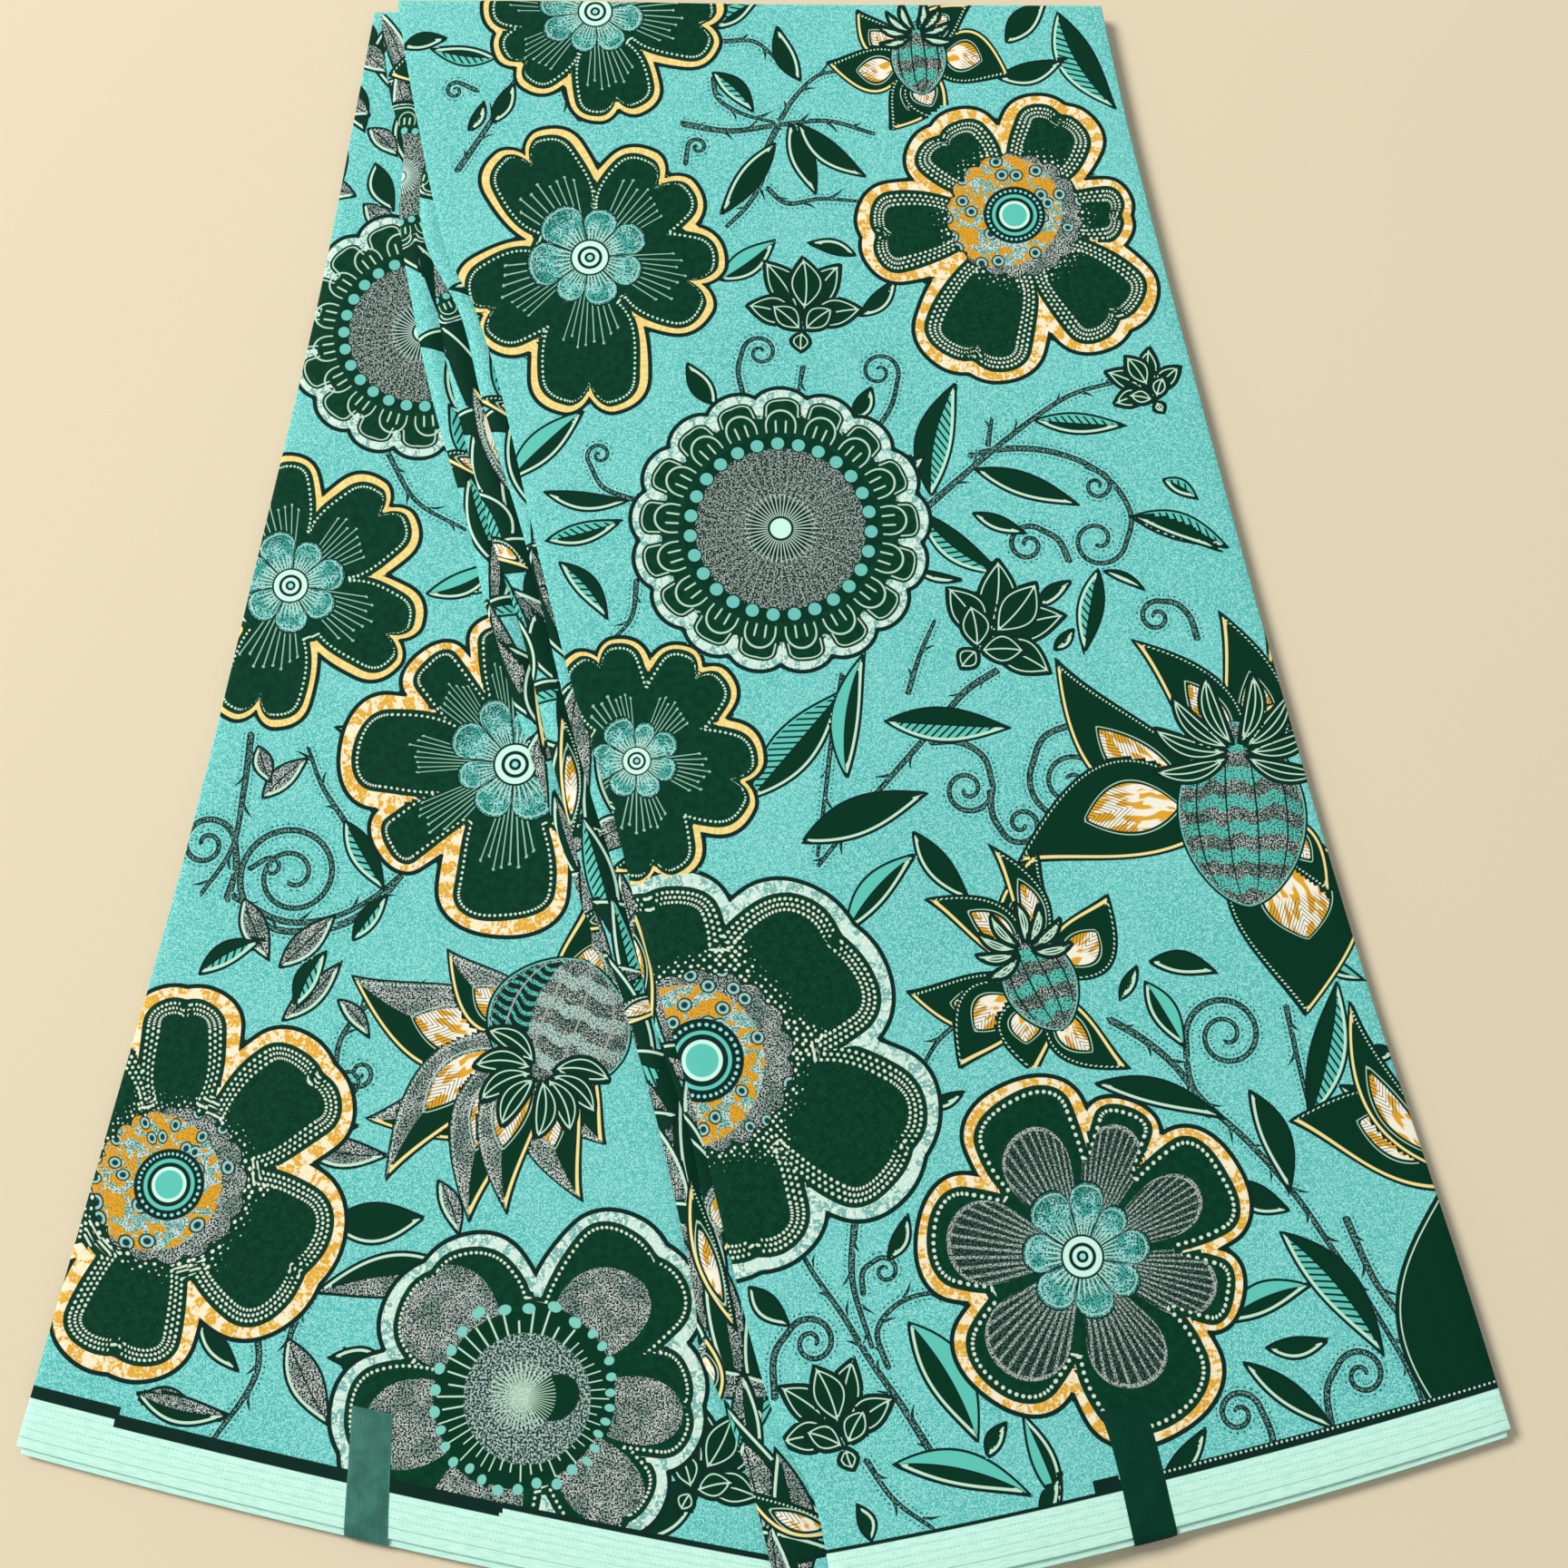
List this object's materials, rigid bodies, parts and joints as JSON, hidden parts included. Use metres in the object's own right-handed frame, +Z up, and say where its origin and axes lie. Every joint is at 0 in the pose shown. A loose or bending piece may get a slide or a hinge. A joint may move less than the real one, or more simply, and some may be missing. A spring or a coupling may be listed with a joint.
{
  "type": "ankara fabric",
  "caption": "Length of printed cotton cloth, doubled, folded into leaves and fanned out flat, with pleats between the leaves and two tapes over the hems.",
  "frame": {"origin": "below the middle of the cloth's outline, on the surface that it lies on", "axes": "+Z up from the surface, +Y towards the top fold, +X to the right seen from above with the hems at the bottom"},
  "size_m": [0.5361, 0.6369, 0.0105],
  "materials": {
    "printed_cotton": "plain-weave cotton with an aqua, deep green, gold and white floral wax print, smooth with a faint sheen",
    "selvedge_cotton": "pale mint unprinted selvedge of the same cotton",
    "tape": "blank dark green adhesive tape, satin"
  },
  "bodies": {
    "root": {"inner_layers": "printed_cotton", "left_leaf": "printed_cotton", "right_leaf": "printed_cotton", "outer_pleat": "printed_cotton", "middle_pleat": "printed_cotton", "inner_pleat": "printed_cotton", "left_lower_selvedge": "selvedge_cotton", "right_lower_selvedge": "selvedge_cotton", "left_tape": "tape", "right_tape": "tape"}
  },
  "joints": []
}
